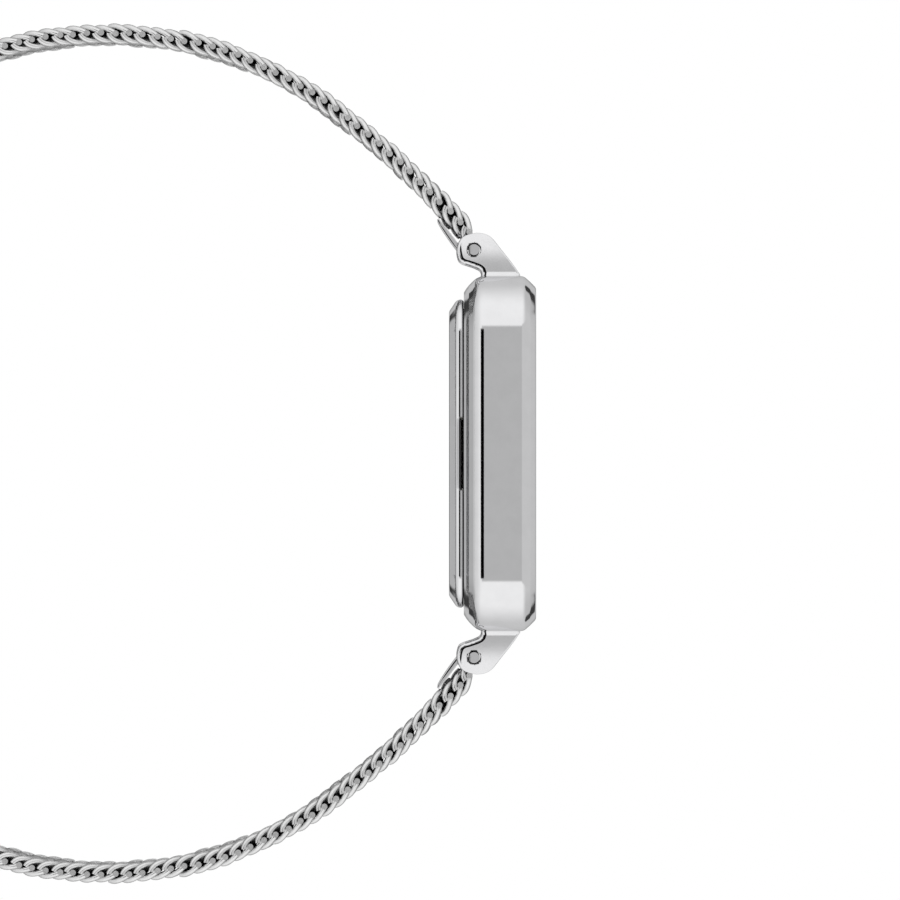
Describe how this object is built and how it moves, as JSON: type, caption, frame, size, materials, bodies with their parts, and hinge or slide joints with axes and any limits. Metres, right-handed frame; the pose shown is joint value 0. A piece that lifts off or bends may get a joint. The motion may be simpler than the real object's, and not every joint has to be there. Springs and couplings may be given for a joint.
{
  "type": "square wristwatch",
  "caption": "Square steel quartz wristwatch with horn lugs and a closed woven steel mesh band with a folding clasp.",
  "frame": {"origin": "middle of the caseback's flat outer face", "axes": "+Z out of the dial, +Y towards 12 o'clock, +X towards 3 o'clock and the crown"},
  "size_m": [0.0308, 0.0682, 0.0595],
  "materials": {
    "polished_steel": "polished",
    "woven_steel": "woven wire",
    "plain_steel": "fine turned",
    "mineral_glass": "clear",
    "seal_rubber": "matt",
    "dial_white": "satin white",
    "movement_brass": "satin",
    "holder_plastic": "moulded",
    "copper_winding": "fine copper wire",
    "board_green": "laminate",
    "chip_black": "moulded resin"
  },
  "bodies": {
    "case": {"case_middle": "polished_steel", "crystal": "mineral_glass", "crystal_gasket": "seal_rubber", "rehaut_ring": "dial_white", "caseback": "polished_steel", "caseback_gasket": "seal_rubber", "dial": "dial_white", "hour_markers": "polished_steel", "main_plate": "movement_brass", "train_bridge": "movement_brass", "movement_holder": "holder_plastic", "movement_screws": "plain_steel", "battery": "plain_steel", "battery_clamp": "plain_steel", "circuit_board": "board_green", "driver_chip": "chip_black", "quartz_can": "plain_steel", "coil_core": "plain_steel", "coil": "copper_winding", "stator": "plain_steel", "crown_tube": "plain_steel", "spring_bar_tubes": "plain_steel", "spring_bar_tips": "plain_steel", "spring_bar_springs": "plain_steel"},
    "seconds_hand_set": {"seconds_wheel": "movement_brass", "seconds_hand": "polished_steel"},
    "intermediate": {"intermediate_wheel": "movement_brass"},
    "motor_rotor": {"rotor": "plain_steel"},
    "third": {"third_wheel": "movement_brass"},
    "centre": {"centre_wheel": "movement_brass"},
    "minute_hand_set": {"cannon_pinion": "movement_brass", "minute_hand": "polished_steel"},
    "minute_wheel_set": {"minute_wheel": "movement_brass"},
    "hour_hand_set": {"hour_wheel": "movement_brass", "hour_hand": "polished_steel"},
    "setting": {"setting_wheel": "movement_brass"},
    "yoke_arm": {"yoke": "plain_steel"},
    "clutch": {"clutch_wheel": "plain_steel"},
    "crown_set": {"stem": "plain_steel", "crown": "polished_steel", "crown_gasket": "seal_rubber"},
    "lever": {"setting_lever": "plain_steel"},
    "strap_12_1": {"band_end_12": "polished_steel", "mesh_12_1": "woven_steel"},
    "strap_12_2": {"mesh_12_2": "woven_steel"},
    "strap_12_3": {"mesh_12_3": "woven_steel"},
    "strap_12_4": {"mesh_12_4": "woven_steel"},
    "strap_12_5": {"mesh_12_5": "woven_steel", "clasp_end_cap": "polished_steel", "clasp_tongue": "plain_steel"},
    "strap_6_1": {"band_end_6": "polished_steel", "mesh_6_1": "woven_steel"},
    "strap_6_2": {"mesh_6_2": "woven_steel"},
    "strap_6_3": {"mesh_6_3": "woven_steel"},
    "strap_6_4": {"mesh_6_4": "woven_steel"},
    "strap_6_5": {"mesh_6_5": "woven_steel", "clasp_box": "polished_steel", "clasp_lever_pin": "plain_steel"},
    "clasp_lever_lid": {"clasp_lever": "polished_steel"}
  },
  "joints": [
    {"name": "seconds_turn", "type": "hinge", "parent": "case", "child": "seconds_hand_set", "pos_m": [0, 0, 0.0039], "axis": [0, 0, -1], "continuous": true},
    {"name": "intermediate_turn", "type": "hinge", "parent": "case", "child": "intermediate", "pos_m": [0, 0.0028, 0.0039], "axis": [0, 0, -1], "continuous": true},
    {"name": "rotor_turn", "type": "hinge", "parent": "case", "child": "motor_rotor", "pos_m": [-0.00166, 0.00376, 0.0039], "axis": [0, 0, -1], "continuous": true},
    {"name": "third_turn", "type": "hinge", "parent": "case", "child": "third", "pos_m": [0.00192, -0.00192, 0.0039], "axis": [0, 0, -1], "continuous": true},
    {"name": "centre_turn", "type": "hinge", "parent": "case", "child": "centre", "pos_m": [0, 0, 0.0039], "axis": [0, 0, -1], "continuous": true},
    {"name": "minute_turn", "type": "hinge", "parent": "case", "child": "minute_hand_set", "pos_m": [0, 0, 0.0039], "axis": [0, 0, -1], "continuous": true},
    {"name": "minute_wheel_turn", "type": "hinge", "parent": "case", "child": "minute_wheel_set", "pos_m": [0.00154, 0.00184, 0.0039], "axis": [0, 0, -1], "continuous": true},
    {"name": "hour_turn", "type": "hinge", "parent": "case", "child": "hour_hand_set", "pos_m": [0, 0, 0.0039], "axis": [0, 0, -1], "continuous": true},
    {"name": "setting_turn", "type": "hinge", "parent": "case", "child": "setting", "pos_m": [0.00365, 0, 0.0039], "axis": [0, 0, -1], "continuous": true},
    {"name": "yoke_shift", "type": "slide", "parent": "case", "child": "yoke_arm", "axis": [1, 0, 0], "range_m": [-0.0003, 0]},
    {"name": "crown_turn", "type": "hinge", "parent": "yoke_arm", "child": "clutch", "pos_m": [0, 0, 0.00355], "axis": [1, 0, 0], "continuous": true},
    {"name": "crown_pull", "type": "slide", "parent": "clutch", "child": "crown_set", "axis": [1, 0, 0], "range_m": [0, 0.001]},
    {"name": "setting_lever_turn", "type": "hinge", "parent": "case", "child": "lever", "pos_m": [0.00723, -0.0022, 0.0039], "axis": [0, 0, -1], "range_deg": [0, 18.08]},
    {"name": "strap_12_swing", "type": "hinge", "parent": "case", "child": "strap_12_1", "pos_m": [0, 0.0161, 0.00198], "axis": [1, 0, 0], "range_deg": [0, 40]},
    {"name": "strap_12_bend_1", "type": "hinge", "parent": "strap_12_1", "child": "strap_12_2", "pos_m": [0, 0.02795, -0.01007], "axis": [1, 0, 0], "range_deg": [0, 13.6]},
    {"name": "strap_12_bend_2", "type": "hinge", "parent": "strap_12_2", "child": "strap_12_3", "pos_m": [0, 0.03317, -0.02502], "axis": [1, 0, 0], "range_deg": [0, 16]},
    {"name": "strap_12_bend_3", "type": "hinge", "parent": "strap_12_3", "child": "strap_12_4", "pos_m": [0, 0.03004, -0.03946], "axis": [1, 0, 0], "range_deg": [0, 18.4]},
    {"name": "strap_12_bend_4", "type": "hinge", "parent": "strap_12_4", "child": "strap_12_5", "pos_m": [0, 0.01868, -0.04879], "axis": [1, 0, 0], "range_deg": [0, 16]},
    {"name": "strap_6_swing", "type": "hinge", "parent": "case", "child": "strap_6_1", "pos_m": [0, -0.0161, 0.00198], "axis": [-1, 0, 0], "range_deg": [0, 40]},
    {"name": "strap_6_bend_1", "type": "hinge", "parent": "strap_6_1", "child": "strap_6_2", "pos_m": [0, -0.02795, -0.01007], "axis": [-1, 0, 0], "range_deg": [0, 13.6]},
    {"name": "strap_6_bend_2", "type": "hinge", "parent": "strap_6_2", "child": "strap_6_3", "pos_m": [0, -0.03317, -0.02502], "axis": [-1, 0, 0], "range_deg": [0, 16]},
    {"name": "strap_6_bend_3", "type": "hinge", "parent": "strap_6_3", "child": "strap_6_4", "pos_m": [0, -0.03004, -0.03946], "axis": [-1, 0, 0], "range_deg": [0, 18.4]},
    {"name": "strap_6_bend_4", "type": "hinge", "parent": "strap_6_4", "child": "strap_6_5", "pos_m": [0, -0.01868, -0.04879], "axis": [-1, 0, 0], "range_deg": [0, 16]},
    {"name": "clasp_lever_lift", "type": "hinge", "parent": "strap_6_5", "child": "clasp_lever_lid", "pos_m": [0, -0.0103, -0.05195], "axis": [-1, 0, 0], "range_deg": [0, 110]}
  ],
  "couplings": [
    {"joint": "intermediate_turn", "follows": "seconds_turn", "ratio": -6},
    {"joint": "rotor_turn", "follows": "seconds_turn", "ratio": 30},
    {"joint": "third_turn", "follows": "seconds_turn", "ratio": -0.13333},
    {"joint": "centre_turn", "follows": "seconds_turn", "ratio": 0.016667},
    {"joint": "minute_wheel_turn", "follows": "minute_turn", "ratio": -0.33333},
    {"joint": "hour_turn", "follows": "minute_turn", "ratio": 0.083333},
    {"joint": "setting_turn", "follows": "minute_turn", "ratio": 0.6},
    {"joint": "yoke_shift", "follows": "crown_pull", "ratio": -0.3},
    {"joint": "setting_lever_turn", "follows": "crown_pull", "rad_per_m": 315.51},
    {"joint": "strap_12_bend_1", "follows": "strap_12_swing", "ratio": 0.34},
    {"joint": "strap_12_bend_2", "follows": "strap_12_swing", "ratio": 0.4},
    {"joint": "strap_12_bend_3", "follows": "strap_12_swing", "ratio": 0.46},
    {"joint": "strap_12_bend_4", "follows": "strap_12_swing", "ratio": 0.4},
    {"joint": "strap_6_swing", "follows": "strap_12_swing", "ratio": 1},
    {"joint": "strap_6_bend_1", "follows": "strap_12_swing", "ratio": 0.34},
    {"joint": "strap_6_bend_2", "follows": "strap_12_swing", "ratio": 0.4},
    {"joint": "strap_6_bend_3", "follows": "strap_12_swing", "ratio": 0.46},
    {"joint": "strap_6_bend_4", "follows": "strap_12_swing", "ratio": 0.4}
  ]
}
